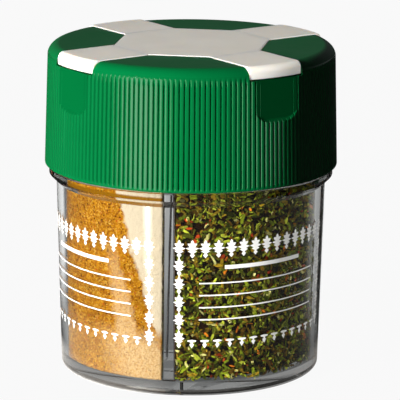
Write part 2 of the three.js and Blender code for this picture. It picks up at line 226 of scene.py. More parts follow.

# Pale film in front of the powder, partly dust on the wall and partly a painted reflection, measured along
# the wall from the front partition
FILM_RADIUS = 30.0
FILM_SLOPE = 0.31
FILM_FLOOR = 13.5
FILM_WANDER = 1.6
FILM_CORNER_EDGE = (-1.7, -0.9)
FILM_BAND = 0.85
FILM_BAND_TOP = 34.0
FILM_BAND_SPREAD = 3.5
FILM_BAND_INNER = (2.6, 3.6)
FILM_BAND_OUTER = (4.6, 6.4)
FILM_FOOT_INNER = (-2.5, -0.5)
FILM_FOOT_OUTER = (7.0, 16.0)
# Painted shadow: heights where a dark ring on the powder fades in and out, behind the flare of the shoulder
SHADE_RING_LOW = (SHOULDER_Z + 0.3, SHOULDER_Z + 0.7)
SHADE_RING_HIGH = (SHOULDER_Z + 1.7, SHOULDER_Z + 2.1)

# Leaf scraps
SCRAP_SIDES = 6
SCRAP_GAP = 0.06
SCRAP_LOW = FLOOR_Z + 0.6
SCRAP_NEAR = 0.2
WALL_SCRAPS = 5600
PARTITION_SCRAPS = 700
TOP_SCRAPS = 700

# Facets
ROUND_STEPS = 240
CORNER_STEPS = 10
WALL_STEPS = 48
EDGE_STEPS = 8
SMALL_EDGE_STEPS = 3
LARGE_EDGE_STEPS = 12
CREAM_EDGE_STEPS = 5
WEB_STEPS = 12
RECESS_STEPS = 8
HOLE_STEPS = 32
MOULDED_CREASE = 35
LEAF_CREASE = 60
NO_CREASE = 180

# Camera, fitted to the photograph
VIEW_DISTANCE = 751.0
VIEW_AZIMUTH = math.radians(9.3)
VIEW_ELEVATION = 13.29
VIEW_ROLL = math.radians(0.45)
AIM_Z = 38.33
AIM_RIGHT = 2.16
LENS = 293.5

# Light. The strengths named through are what the clear plastic shows of the room and the floor.
LIGHT_BOUNCES = 32
BACKDROP = 0.96
ROOM_FRONT = 0.012
ROOM_BACK = 0.17
THROUGH_LEFT = 1.1
THROUGH_MIDDLE = 0.27
THROUGH_RIGHT = 0.55
FLOOR_THROUGH = 0.17
FLOOR_NEAR = 45.0
FLOOR_FAR = 110.0
FLOOR_BESIDE = 0.15
FLOOR_BESIDE_LEFT = 0.5
EDGE_GLOW = 3.4
EDGE_GLOW_SIDE = 1.0
EDGE_GLOW_FRONT = 0.3
EDGE_GLOW_NEAR = 34.0
EDGE_GLOW_FAR = 42.0
EDGE_GLOW_COLOUR = (1.0, 0.95, 0.88)
STRIP_DISTANCE = 110.0
STRIP_AZIMUTHS = (-37.6, -25.6)
STRIP_LOW = 0.5
STRIP_HIGH = 24.0
STRIP_STRENGTH = 22.0


def rib_radius(z):
    """Radius of the rib tops at a height."""
    return RIB_RADIUS - CAP_TAPER * (z - SKIRT_Z) / (PAD_Z - SKIRT_Z)


def rise(z):
    return (z - FLOOR_Z) / (RIM_Z - FLOOR_Z)


def compartment_radius(z):
    return COMPARTMENT_RADIUS - COMPARTMENT_DRAFT * (1 - rise(z))


def partition_half(z):
    return (PARTITION_BOTTOM + (PARTITION_TOP - PARTITION_BOTTOM) * rise(z)) / 2


BASE_RADIUS = compartment_radius(FLOOR_Z) + BASE_WALL
BODY_RADIUS = compartment_radius(SHOULDER_Z) + BODY_WALL


def wall_radius(z):
    """Outside of the jar between its base and its shoulder."""
    share = (z - BASE_EDGE) / (SHOULDER_Z - BASE_EDGE)
    return BASE_RADIUS + (BODY_RADIUS - BASE_RADIUS) * share


# Meshes


def add_object(name, data):
    obj = bpy.data.objects.new(name, data)
    bpy.context.scene.collection.objects.link(obj)
    return obj


def make_object(name, vertices, faces):
    mesh = bpy.data.meshes.new(name)
    mesh.from_pydata(np.asarray(vertices).tolist(), [], faces)
    return add_object(name, mesh)


def face_out(obj):
    work = bmesh.new()
    work.from_mesh(obj.data)
    bmesh.ops.recalc_face_normals(work, faces=work.faces)
    work.to_mesh(obj.data)
    work.free()
    return obj


def loft(name, rings):
    """Closed skin through rings of equally many points, with flat ends."""
    rings = np.asarray(rings, float)
    levels, count = rings.shape[:2]
    here = np.arange(count)
    beside = np.roll(here, -1)
    faces = []
    for start in range(0, (levels - 1) * count, count):
        above = start + count
        faces += np.c_[start + here, start + beside, above + beside, above + here].tolist()
    faces.append(here[::-1].tolist())
    faces.append(((levels - 1) * count + here).tolist())
    return face_out(make_object(name, rings.reshape(-1, 3), faces))


def even_angles(count):
    return np.arange(count) * 4 * QUARTER / count


def quarter_angles(steps):
    return np.linspace(0, QUARTER, steps + 1)


def polar(radius, angles, z):
    """Points at angles round the axis."""
    return np.c_[radius * np.cos(angles), radius * np.sin(angles), np.full(len(angles), z)]


def lathe(name, profile, steps=ROUND_STEPS):
    """Turned solid from a profile of radius and height, with flat ends."""
    return loft(name, [polar(radius, even_angles(steps), z) for radius, z in profile])


def arc(centre, radius, start, end, steps=EDGE_STEPS):
    angles = np.linspace(start, end, steps + 1)
    return np.c_[centre[0] + radius * np.cos(angles), centre[1] + radius * np.sin(angles)]


def round_over(radius, angles):
    """Distances of a rounded edge from the two faces that it joins."""
    return [(radius * (1 - math.cos(angle)), radius * (1 - math.sin(angle))) for angle in angles]


def with_height(outline, z):
    return np.c_[outline, np.full(len(outline), z)]


def across_arm(side, y):
    """Outline of distance and height, at a place across an arm that points along +X."""
    return np.c_[side[:, 0], np.full(len(side), y), side[:, 1]]


def turned(obj, angle):
    obj.data.transform(Matrix.Rotation(angle, 4, "Z"))
    return obj


def moved(obj, offset):
    obj.data.transform(Matrix.Translation(offset))
    return obj


def gathered(objects):
    """One object from several that don't touch."""
    work = bmesh.new()
    for obj in objects:
        work.from_mesh(obj.data)
    work.to_mesh(objects[0].data)
    work.free()
    for obj in objects[1:]:
        bpy.data.objects.remove(obj)
    return objects[0]


def on_arms(obj):
    """One copy for each arm, from an object that points along +X."""
    copies = [turned(add_object(obj.name, obj.data.copy()), angle) for angle in ARMS.values()]
    bpy.data.objects.remove(obj)
    return gathered(copies)


def apply_modifiers(obj):
    bpy.context.view_layer.update()
    graph = bpy.context.evaluated_depsgraph_get()
    mesh = bpy.data.meshes.new_from_object(obj.evaluated_get(graph))
    obj.modifiers.clear()
    obj.data = mesh
    return obj


def combine(base, other, operation):
    modifier = base.modifiers.new(operation, "BOOLEAN")
    modifier.operation = operation
    modifier.solver = "MANIFOLD"
    modifier.object = other
    apply_modifiers(base)
    bpy.data.objects.remove(other)
    return base


def cut(base, other):
    return combine(base, other, "DIFFERENCE")


def join(base, other):
    return combine(base, other, "UNION")


def shade(obj, crease):
    """Smooth faces with sharp edges past an angle, where large flat faces stay flat beside rounded edges."""
    obj.data.shade_smooth()
    obj.data.set_sharp_from_angle(angle=math.radians(crease))
    modifier = obj.modifiers.new("even_shading", "WEIGHTED_NORMAL")
    modifier.keep_sharp = True
    return apply_modifiers(obj)


def place(obj, name, body, material, nodes=()):
    """Turns a finished mesh into a piece of the object: metres, finish and carrier."""
    obj.name = name
    obj.data.name = name
    obj.data.transform(Matrix.Scale(MM, 4))
    obj.data.materials.clear()
    obj.data.materials.append(material)
    if nodes:
        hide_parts(*nodes)
    if body:
        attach(obj, body)
    return obj


# Material nodes


def feed(tree, node, inputs):
    """Links inputs of a node to sockets, or sets them to values."""
    for name, value in inputs.items():
        if isinstance(value, bpy.types.NodeSocket):
            tree.links.new(value, node.inputs[name])
        else:
            node.inputs[name].default_value = value


def add_node(tree, kind, inputs=None, **settings):
    node = tree.nodes.new("ShaderNode" + kind)
    for name, value in settings.items():
        setattr(node, name, value)
    feed(tree, node, inputs or {})
    return node


def new_material(name, **constants):
    material = bpy.data.materials.new(name)
    material.use_nodes = True
    tree = material.node_tree
    shader = tree.nodes["Principled BSDF"]
    for socket, value in constants.items():
        shader.inputs[socket.replace("_", " ")].default_value = value
    place_socket = add_node(tree, "TexCoord").outputs["Object"]
    return material, tree, shader, place_socket


def noise(tree, where, size, detail=2.0):
    """Soft noise whose features are about size millimetres wide."""
    inputs = {"Vector": where, "Scale": 1 / (size * MM), "Detail": detail}
    return add_node(tree, "TexNoise", inputs).outputs["Fac"]


def ramp(tree, value, stops):
    """Colours at positions from 0 to 1."""
    node = add_node(tree, "ValToRGB", {"Fac": value})
    marks = node.color_ramp.elements
    while len(marks) < len(stops):
        marks.new(0.5)
    for mark, (position, colour) in zip(marks, stops):
        mark.position = position
        mark.color = (*colour, 1.0)
    return node.outputs["Color"]


def between(tree, value, low, high, start=0.0, end=1.0):
    """Value from low at start to high at end, held beyond them."""
    inputs = {"Value": value, "From Min": start, "From Max": end, "To Min": low, "To Max": high}
    return add_node(tree, "MapRange", inputs).outputs["Result"]


def calc(tree, operation, first, second=0.0):
    return add_node(tree, "Math", {0: first, 1: second}, operation=operation).outputs[0]


def rgba(colour):
    return colour if isinstance(colour, bpy.types.NodeSocket) else (*colour, 1.0)


def mixed(tree, share, first, second, blend_type="MIX"):
    node = add_node(tree, "Mix", data_type="RGBA", blend_type=blend_type)
    feed(tree, node, {0: share, 6: rgba(first), 7: rgba(second)})
    return node.outputs[2]


def shader_mix(tree, share, first, second):
    return add_node(tree, "MixShader", {"Fac": share, 1: first, 2: second}).outputs["Shader"]


def emission(tree, colour, strength):
    return add_node(tree, "Emission", {"Color": rgba(colour), "Strength": strength}).outputs[0]


def bump(tree, height, strength, distance):
    inputs = {"Height": height, "Strength": strength, "Distance": distance * MM}
    return add_node(tree, "Bump", inputs).outputs["Normal"]


def linear(red, green, blue):
    """Linear colour from values of 0 to 255 as a screen shows them."""
    shares = (red / 255, green / 255, blue / 255)
    return tuple(((share + 0.055) / 1.055) ** 2.4 for share in shares)


def moulded_plastic(name, colour, pale, roughness, gloss, depth=0.0):
    """Plastic with faint mottling, dust and edges rubbed paler. Light sinks in to depth millimetres."""
    material, tree, shader, where = new_material(name, IOR=1.5, Specular_IOR_Level=gloss)
    if depth:
        feed(tree, shader, {"Subsurface Weight": 0.6, "Subsurface Scale": depth * MM})
        feed(tree, shader, {"Subsurface Radius": (1.0, 0.8, 0.6)})
    cloud = noise(tree, where, 9.0, 3.0)
    grain = noise(tree, where, 0.35, 2.0)
    specks = noise(tree, where, 0.6, 1.0)
    darker = tuple(0.88 * value for value in colour)
    base = mixed(tree, cloud, darker, colour)
    edge = add_node(tree, "NewGeometry").outputs["Pointiness"]
    base = mixed(tree, between(tree, edge, 0.0, 0.3, 0.54, 0.62), base, pale)
    base = mixed(tree, between(tree, specks, 0.0, 0.5, 0.76, 0.84), base, pale)
    uneven = between(tree, cloud, roughness - 0.06, roughness + 0.08)
    feed(tree, shader, {"Base Color": base, "Roughness": uneven, "Normal": bump(tree, grain, 0.12, 0.02)})
    return material


def clear_plastic():
    """Clear moulding with a slight waviness, which lets the lamps light what is behind it."""
    tint = (0.93, 0.95, 0.94, 1.0)
    material, tree, shader, where = new_material(
        "clear_plastic", Base_Color=tint, Roughness=0.03, IOR=1.57, Transmission_Weight=1.0
    )
    feed(tree, shader, {"Normal": bump(tree, noise(tree, where, 7.0, 1.0), 0.15, 0.05)})
    passing = add_node(tree, "BsdfTransparent", {"Color": tint}).outputs["BSDF"]
    rays = add_node(tree, "LightPath").outputs
    surface = shader_mix(tree, rays["Is Diffuse Ray"], shader.outputs["BSDF"], passing)
    surface = shader_mix(tree, rays["Is Shadow Ray"], surface, passing)
    feed(tree, tree.nodes["Material Output"], {"Surface": surface})
    return material


def print_ink():
    material, tree, shader, where = new_material("print_ink", Roughness=0.45)
    base = mixed(tree, noise(tree, where, 0.8, 2.0), linear(236, 234, 228), linear(252, 251, 248))
    feed(tree, shader, {"Base Color": base})
    return material


def dust_and_painted_light_shares(tree, where):
    """How much pale film lies on the wall: a pale corner beside the partition, and thin bands below it. They
    are partly dust and partly a painted reflection.

    The third share is a painted shadow: a dark ring behind the flare of the shoulder.
    """
    x, y, z = add_node(tree, "SeparateXYZ", {"Vector": where}).outputs
    angle = calc(tree, "ARCTAN2", y, x)
    along = calc(tree, "MULTIPLY", calc(tree, "SUBTRACT", -QUARTER, angle), FILM_RADIUS)
    height = calc(tree, "DIVIDE", z, MM)
    slant = calc(tree, "SUBTRACT", along, calc(tree, "MULTIPLY", height, FILM_SLOPE))
    slant = calc(tree, "ADD", slant, between(tree, noise(tree, where, 2.5, 3.0), -FILM_WANDER, FILM_WANDER))
    above = between(tree, height, 0.0, 1.0, FILM_FLOOR - 1, FILM_FLOOR + 2)
    corner = calc(tree, "MULTIPLY", between(tree, slant, 1.0, 0.0, *FILM_CORNER_EDGE), above)
    lower = between(tree, height, 1.0, 0.0, FILM_FLOOR, FILM_BAND_TOP)
    outer = calc(tree, "SUBTRACT", slant, calc(tree, "MULTIPLY", lower, FILM_BAND_SPREAD))
    inside = between(tree, slant, 0.0, 1.0, *FILM_BAND_INNER)
    band = calc(tree, "MULTIPLY", inside, between(tree, outer, FILM_BAND, 0.0, *FILM_BAND_OUTER))
    band = calc(tree, "MULTIPLY", band, calc(tree, "SQRT", lower))
    beside = between(tree, slant, 0.0, 1.0, *FILM_FOOT_INNER)
    foot = calc(tree, "MULTIPLY", beside, between(tree, slant, 1.0, 0.2, *FILM_FOOT_OUTER))
    foot = calc(tree, "MULTIPLY", foot, between(tree, height, 1.0, 0.0, FILM_FLOOR - 3, FILM_FLOOR + 2))
    patchy = between(tree, noise(tree, where, 0.4, 2.0), 0.45, 1.0, 0.35, 0.6)
    thin = calc(tree, "MULTIPLY", calc(tree, "MAXIMUM", band, foot), patchy)
    flat = add_node(tree, "CombineXYZ", {"X": x, "Y": y}).outputs["Vector"]
    radius = add_node(tree, "VectorMath", {0: flat}, operation="LENGTH").outputs["Value"]
    wall = between(tree, radius, 0.0, 1.0, (FILM_RADIUS - 4) * MM, (FILM_RADIUS - 3) * MM)
    wall = calc(tree, "MULTIPLY", wall, between(tree, height, 1.0, 0.0, FILL_Z - 0.6, FILL_Z - 0.1))
    ring = between(tree, height, 0.0, 1.0, *SHADE_RING_LOW)
    ring = calc(tree, "MULTIPLY", ring, between(tree, height, 1.0, 0.0, *SHADE_RING_HIGH))
    return [calc(tree, "MULTIPLY", share, wall) for share in (corner, thin, ring)]


def powder_material(name, stops, grain, dust_and_painted_light=None):
    """Ground spice whose grains have colours from stops. In front may lie pale films, partly dust and partly
    painted reflection, and a painted shadow.
    """
    material, tree, shader, where = new_material(name, Roughness=0.9, Specular_IOR_Level=0.0)
    cells = add_node(tree, "TexVoronoi", {"Vector": where, "Scale": 1 / (grain * MM)})
    chance = add_node(tree, "SeparateColor", {"Color": cells.outputs["Color"]}).outputs[0]
    base = ramp(tree, chance, stops)
    cloud = ramp(tree, noise(tree, where, 5.0, 3.0), [(0.3, (0.8, 0.8, 0.8)), (0.7, (1.1, 1.1, 1.1))])
    base = mixed(tree, 1.0, base, cloud, "MULTIPLY")
    if dust_and_painted_light:
        # Pale corner and thin bands are partly dust and partly painted reflection; the dark ring is painted
        # shadow.
        pale, dust_and_reflection, painted_shade = dust_and_painted_light
        corner, thin, ring = dust_and_painted_light_shares(tree, where)
        base = mixed(tree, thin, base, dust_and_reflection)
        base = mixed(tree, corner, base, pale)
        # Painted shadow on the powder behind the flare of the shoulder.
        base = mixed(tree, ring, base, painted_shade)
    rough = bump(tree, cells.outputs["Distance"], 0.5, grain / 2)
    feed(tree, shader, {"Base Color": base, "Normal": rough})
    return material


def flake_material(name):
    """Dried leaf scraps, each with the colour its points carry."""
    material, tree, shader, where = new_material(name, Roughness=0.8, Specular_IOR_Level=0.05)
    tint = add_node(tree, "Attribute", attribute_name="tint").outputs["Color"]
    veins = ramp(tree, noise(tree, where, 0.4, 2.0), [(0.3, (0.7, 0.7, 0.7)), (0.7, (1.2, 1.2, 1.2))])
    base = mixed(tree, 1.0, tint, veins, "MULTIPLY")
    rough = bump(tree, noise(tree, where, 0.25, 2.0), 0.4, 0.05)
    feed(tree, shader, {"Base Color": base, "Normal": rough})
    return material


# Jar


def quadrant(z, inset, level=None):
    """Outline of the compartment between +X and +Y at a height, drawn in by inset."""
    radius = compartment_radius(z) - inset
    corner = max(COMPARTMENT_CORNER - inset, COMPARTMENT_CORNER / 4)
    near = partition_half(z) + inset + corner
    far = math.sqrt((radius - corner) ** 2 - near**2)
    tilt = math.atan2(near, far)
    outline = np.concatenate([
        arc((near, near), corner, 2 * QUARTER, 3 * QUARTER, CORNER_STEPS),
        arc((far, near), corner, -QUARTER, tilt, CORNER_STEPS),
        arc((0, 0), radius, tilt, QUARTER - tilt, WALL_STEPS)[1:-1],
        arc((near, far), corner, QUARTER - tilt, 2 * QUARTER, CORNER_STEPS),
    ])
    return with_height(outline, z if level is None else level)


def floor_rings(gap):
    """Rings of the rounded floor edge of a compartment, drawn in by gap."""
    rounded = round_over(FLOOR_EDGE, quarter_angles(EDGE_STEPS))
    return [quadrant(FLOOR_Z + up, inset + gap, FLOOR_Z + up + gap) for up, inset in rounded]


def jar_profile():
    foot = BASE_RADIUS - BASE_EDGE
    shoulder = [(BODY_RADIUS, SHOULDER_Z), (COLLAR_RADIUS, COLLAR_LOW_Z)]
    collar_corner = (COLLAR_RADIUS - COLLAR_ROUND, COLLAR_TOP_Z - COLLAR_ROUND)
    bead = [(NECK_RADIUS + BEAD_HEIGHT * math.sin(2 * t) ** 2, BEAD_Z + BEAD_WIDTH * (t / QUARTER - 0.5))
            for t in quarter_angles(EDGE_STEPS)]
    return [
        (foot - FOOT_WIDTH - FOOT_HEIGHT, FOOT_HEIGHT), (foot - FOOT_WIDTH, 0),
        *arc((foot, BASE_EDGE), BASE_EDGE, -QUARTER, 0),
        *shoulder,
        *arc(collar_corner, COLLAR_ROUND, 0, QUARTER),
        (NECK_RADIUS, COLLAR_TOP_Z),
        *bead,
        *arc((NECK_RADIUS - RIM_ROUND, RIM_Z - RIM_ROUND), RIM_ROUND, 0, QUARTER),
    ]


def make_jar(material):
    jar = lathe("jar", jar_profile())
    mouth = [
        quadrant(RIM_Z - RIM_CHAMFER, 0),
        quadrant(RIM_Z, -RIM_CHAMFER),
        quadrant(RIM_Z, -RIM_CHAMFER, RIM_Z + OVERCUT),
    ]
    jar = cut(jar, on_arms(turned(loft("pocket", [*floor_rings(0), *mouth]), -QUARTER / 2)))
    return place(shade(jar, MOULDED_CREASE), "jar_body", "jar", material, ["jar"])


def printed(rows):
    """Thin layer on the jar from rows of angles and a height."""
    rings = []
    for angles, z in rows:
        radius = wall_radius(z) + PRINT_LIFT
        rings.append(np.vstack([polar(radius + PRINT_THICKNESS, angles, z), polar(radius, angles[::-1], z)]))
    return loft("print", rings)


def leaf(angle, z, half_width, half_height, side=LEAF_SIDE):
    rows = []
    for across, up in side:
        row_z = z + up * half_height
        spread = across * half_width / wall_radius(row_z)
        rows.append(([angle - spread, angle, angle + spread], row_z))
    return printed(rows)


def rule(angle, z, thickness, share):
    """Plain line across a share of the label."""
    angles = angle + np.linspace(-share, share, RULE_POINTS) * LABEL_HALF
    return printed([(angles, z + thickness / 2), (angles, z - thickness / 2)])


def make_label(place_name, material):
    """Border of leaves round plain lines."""
    middle = ARMS[place_name] + LABEL_TURN
    left, right = middle - LABEL_HALF, middle + LABEL_HALF
    angles = np.linspace(left, right, LEAVES_ACROSS)
    row_z = LABEL_TOP - LEAF_HALF_HEIGHT
    shapes = [leaf(angle, row_z, LEAF_HALF_WIDTH, LEAF_HALF_HEIGHT) for angle in angles]
    half_pitch = (row_z - LEAF_HALF_HEIGHT - LABEL_LOW) / (2 * LEAVES_DOWN)
    for angle in (left, right):
        for step in range(LEAVES_DOWN):
            z = LABEL_LOW + half_pitch * (2 * step + 1)
            shapes.append(leaf(angle, z, SIDE_LEAF_SHARE * LEAF_HALF_WIDTH, half_pitch))
    stub_z = LABEL_LOW + LEAF_HALF_HEIGHT
    for angle in angles[1:-1]:
        shapes.append(leaf(angle, stub_z, STUB_SHARE * LEAF_HALF_WIDTH, LEAF_HALF_HEIGHT, STUB_SIDE))
    shapes += [rule(middle, *line) for line in RULES]
    label = place(gathered(shapes), "label_" + place_name, "jar", material)
    label.visible_shadow = False
    return label


# Cap


def eased(share):
    """Share from 0 to 1 that starts and ends gently."""
    share = min(max(share, 0), 1)
    return share * share * (3 - 2 * share)


def ribbed_ring(z, fade=1.0):
    """One ring of the skirt, with the grooves at a share of their depth, under the rounded top edge."""
    pitch = 4 * QUARTER / RIB_COUNT
    angles = ((np.arange(RIB_COUNT)[:, None] + RIB_POINTS) * pitch).ravel()
    off = np.abs(2 * RIB_POINTS)
    flank = np.clip((off - RIB_CREST) / (1 - RIB_CREST), 0, 1)
    crown = RIB_CROWN * np.minimum(off / RIB_CREST, 1) ** 2
    groove = np.tile(crown + (1 - RIB_CROWN) * flank**2 * (1 + RIB_EASE) / (flank + RIB_EASE), RIB_COUNT)
    fade *= 1 - eased((z - RIB_END_LOW) / (RIB_END_HIGH - RIB_END_LOW))
    radius = rib_radius(z) - fade * RIB_DEPTH * groove
    if z > TOP_EDGE_Z:
        drop = TOP_EDGE - math.sqrt(TOP_EDGE**2 - (z - TOP_EDGE_Z) ** 2)
        radius = np.minimum(radius, rib_radius(TOP_EDGE_Z) + TOP_EDGE_EASE - drop)
    return polar(radius, angles, z)


def cap_block():
    rings = []
    for up, inset in round_over(SKIRT_EDGE_ROUND, quarter_angles(SMALL_EDGE_STEPS)):
        ring = ribbed_ring(SKIRT_Z + up, 0)
        ring[:, :2] *= 1 - inset / RIB_RADIUS
        rings.append(ring)
    for share in np.linspace(0, 1, 5):
        rings.append(ribbed_ring(SKIRT_Z + RIM_BAND * (0.4 + 0.8 * share), eased(share)))
    for z in np.linspace(RIB_END_LOW, TOP_EDGE_Z, 4)[:-1]:
        rings.append(ribbed_ring(z))
    for angle in quarter_angles(LARGE_EDGE_STEPS):
        rings.append(ribbed_ring(TOP_EDGE_Z + TOP_EDGE * math.sin(angle)))
    return loft("cap", rings)


def cap_bore():
    profile = [
        (BORE_BOTTOM + SKIRT_LEAD_IN, SKIRT_Z - OVERCUT), (BORE_BOTTOM + SKIRT_LEAD_IN, SKIRT_Z),
        (BORE_BOTTOM, SKIRT_Z + SKIRT_LEAD_IN), (BORE_TOP, DECK_Z),
    ]
    return lathe("bore", profile)


def cross_outline(half, flat, reach):
    """Four arms with the corners between them cut straight."""
    root = math.sqrt(2) * flat - half
    corners = np.array([(root, -half), (reach, -half), (reach, half), (root, half)])
    outline = []
    for angle in ARMS.values():
        c, s = math.cos(angle), math.sin(angle)
        outline.append(corners @ np.array([(c, s), (-s, c)]))
    return np.concatenate(outline)


def channel_ring(grow, z):
    """Outline of the cross-shaped channel, widened by grow."""
    return with_height(cross_outline(CHANNEL_HALF + grow, HUB_FLAT + ARM_CLEARANCE + grow, BEYOND), z)


def channel_cutter():
    """Channel whose upper edges are rounded."""
    rings = [channel_ring(0, CHANNEL_Z)]
    for grow, drop in round_over(PAD_EDGE, np.radians([0, 20, 40, 60, 78])):
        rings.append(channel_ring(grow, PAD_Z - drop))
    rings.append(channel_ring(PAD_EDGE, PAD_Z + OVERCUT))
    return loft("channel", rings)


def pad_hollows():
    block = lathe("hollow", [(BORE_TOP, DECK_Z - OVERCUT), (BORE_TOP, PAD_Z - PAD_WALL)])
    return cut(block, loft("cross", [channel_ring(PAD_WALL, z) for z in (DECK_Z - 2 * OVERCUT, PAD_Z)]))


def seal_ring():
    """Wall that plugs into the mouth of a compartment, tapered to find its way in."""
    low = RIM_Z - SEAL_DEPTH
    taper = SEAT_GAP
    outer = [
        quadrant(low, SEAT_GAP + taper, low),
        quadrant(low, SEAT_GAP, low + 2 * taper),
        quadrant(low, SEAT_GAP, PAD_Z - PAD_WALL / 2),
    ]
    inner_gap = SEAT_GAP + SEAL_WALL
    inner = [quadrant(low, inner_gap, z) for z in (low - OVERCUT, PAD_Z)]
    return cut(loft("seal", outer), loft("seal_inside", inner))


def lip_pocket():
    corners = [(BORE_TOP - ARM_HALF, -CHANNEL_HALF), (BEYOND, -CHANNEL_HALF)]
    corners += [(x, -y) for x, y in reversed(corners)]
    block = loft("lip_pocket", [with_height(np.array(corners), z) for z in (LIP_Z - SEAT_GAP, TOP_Z)])
    core = [(BACKING_RADIUS, DECK_Z - 2 * OVERCUT), (BACKING_RADIUS, TOP_Z + OVERCUT)]
    return cut(block, lathe("core", core))


def recess_ring(out, lift):
    """Outline of a thumb recess that follows the taper, at a distance out from its flat floor."""
    corner = RECESS_CORNER
    foot = LIP_Z - RECESS_HEIGHT + corner + lift
    outline = np.concatenate([
        [(RECESS_HALF, LIP_Z), (-RECESS_HALF, LIP_Z)],
        arc((corner - RECESS_HALF, foot), corner, 2 * QUARTER, 3 * QUARTER, LARGE_EDGE_STEPS),
        arc((RECESS_HALF - corner, foot), corner, -QUARTER, 0, LARGE_EDGE_STEPS),
    ])
    return np.c_[rib_radius(outline[:, 1]) - RECESS_DEPTH + out, outline]


def thumb_recess():
    """Flat hollow under a lip that runs out at its sides and eases out at its foot."""
    rings = []
    for share in np.linspace(1, 0, RECESS_STEPS + 1):
        rings.append(recess_ring(RECESS_DEPTH * (1 - eased(share)), RECESS_EDGE * share))
    rings.append(recess_ring(RECESS_DEPTH + OVERCUT, 0))
    return loft("recess", rings)


def round_cutter(radius, low, high):
    """Round hole from low to high whose upper edge is broken."""
    wide = radius + HOLE_EDGE
    profile = [(radius, low), (radius, high - HOLE_EDGE), (wide, high), (wide, high + OVERCUT)]
    return lathe("hole", profile, HOLE_STEPS)


def sifter_holes():
    ring = polar(HOLE_PITCH, even_angles(HOLE_RING), 0)
    spots = np.vstack([(0, 0, 0), ring]) + (SIFTER_CENTRE, 0, 0)
    floor = CHANNEL_Z - DISH_DEPTH
    return gathered([moved(round_cutter(HOLE_RADIUS, DECK_Z - OVERCUT, floor), spot) for spot in spots])


def finish_cap(cap, ribs, grain):
    """Gives the ribs their own finish, and the floors of the thumb recesses a darker, duller green.

    The flank of a rib that faces anticlockwise stays dull.
    """
    for material in (ribs, grain):
        cap.data.materials.append(material)
    count = len(cap.data.polygons)
    centres = np.empty(3 * count, np.float32)
    normals = np.empty(3 * count, np.float32)
    cap.data.polygons.foreach_get("center", centres)
    cap.data.polygons.foreach_get("normal", normals)
    x, y, z = centres.reshape(-1, 3).T / MM
    normal_x, normal_y, _ = normals.reshape(-1, 3).T
    radius = np.hypot(x, y)
    outside = radius > BACKING_RADIUS
    onward = (x * normal_y - y * normal_x) / radius
    from_arm = (np.arctan2(y, x) % QUARTER - QUARTER / 2) * RIB_RADIUS
    thumb = outside & (np.abs(from_arm) < RECESS_DARKER_HALF) & (z > LIP_Z - RECESS_HEIGHT) & (z < LIP_Z)
    ribbed = outside & (z > SKIRT_Z + RIM_BAND / 2) & (z < RIB_END_HIGH) & (onward < DULL_FLANK)
    cap.data.polygons.foreach_set("material_index", np.where(thumb, 2, np.where(ribbed, 1, 0)))


def make_cap(satin, ribs, grain):
    cap = cut(cut(cap_block(), cap_bore()), pad_hollows())
    cap = join(cap, on_arms(turned(seal_ring(), -QUARTER / 2)))
    cap = cut(cap, channel_cutter())
    dish = moved(round_cutter(DISH_RADIUS, CHANNEL_Z - DISH_DEPTH, CHANNEL_Z), (SIFTER_CENTRE, 0, 0))
    peg_hole = moved(round_cutter(PEG_RADIUS + SEAT_GAP, DECK_Z - OVERCUT, CHANNEL_Z), (PEG_CENTRE, 0, 0))
    for cutter in (lip_pocket(), thumb_recess(), dish, sifter_holes(), peg_hole):
        cap = cut(cap, on_arms(cutter))
    cap = place(shade(cap, MOULDED_CREASE), "cap_body", "cap", satin, ["cap"])
    finish_cap(cap, ribs, grain)
    return cap


# Cross of flaps


def drawn_in(outline, inset):
    """Outline in anticlockwise order, with each side moved inwards."""
    before = outline - np.roll(outline, 1, axis=0)
    after = np.roll(outline, -1, axis=0) - outline
    normals = []
    for edge in (before, after):
        edge = edge / np.linalg.norm(edge, axis=1, keepdims=True)
        normals.append(np.c_[-edge[:, 1], edge[:, 0]])
    joint = normals[0] + normals[1]
    scale = 2 * inset / np.maximum((joint**2).sum(1, keepdims=True), 0.5)
    return outline + joint * scale


def flap_side(y):
    """Side outline of a flap that points along +X, as distance from the axis and height."""
    outer = math.sqrt(LIP_OUTER**2 - y**2)
    inner = math.sqrt(LIP_INNER**2 - y**2)
    edge = FLAP_START
    return np.concatenate([
        [(edge, TOP_Z - CREASE_DEPTH), (edge, TOP_Z - HINGE_WEB), (edge + HINGE_NOTCH, PLATE_Z)],
        [(inner, PLATE_Z), (inner, LIP_Z)],
        arc((outer - LIP_ROUND, LIP_Z + LIP_ROUND), LIP_ROUND, -QUARTER, 0, SMALL_EDGE_STEPS),
        arc((outer - FLAP_EDGE, TOP_Z - FLAP_EDGE), FLAP_EDGE, 0, QUARTER, LARGE_EDGE_STEPS),
        [(edge + CREASE_DEPTH, TOP_Z)],
    ])


def rounded_stations(half, edge):
    """Places across a width with the inset that rounds its edges."""
    ends = [(half - drop, inset) for inset, drop in round_over(edge, quarter_angles(CREAM_EDGE_STEPS))]
    left = [(-y, inset) for y, inset in reversed(ends)]
    middle = [(y, 0.0) for y in np.linspace(-half + edge, half - edge, 17)[1:-1]]
    return left + middle + ends


def make_flap(place_name, angle, material):
    stations = rounded_stations(ARM_HALF, CREAM_EDGE)
    flap = loft("flap", [across_arm(drawn_in(flap_side(y), inset), y) for y, inset in stations])
    radius = DISH_RADIUS - SEAT_GAP
    low = CHANNEL_Z - DISH_DEPTH + SEAT_GAP
    plug = lathe("plug", [(radius - HOLE_EDGE, low), (radius, low + HOLE_EDGE), (radius, TOP_Z - HINGE_WEB)])
    flap = turned(join(flap, moved(plug, (SIFTER_CENTRE, 0, 0))), angle)
    node = "flap_" + place_name
    return place(shade(flap, MOULDED_CREASE), node + "_lid", node, material, [node])


def hub_ring(grow, z):
    """Outline of the hub, drawn in by grow along its cut corners and sides but not at the hinges."""
    return with_height(cross_outline(ARM_HALF - grow, HUB_FLAT - grow, HUB_END), z)


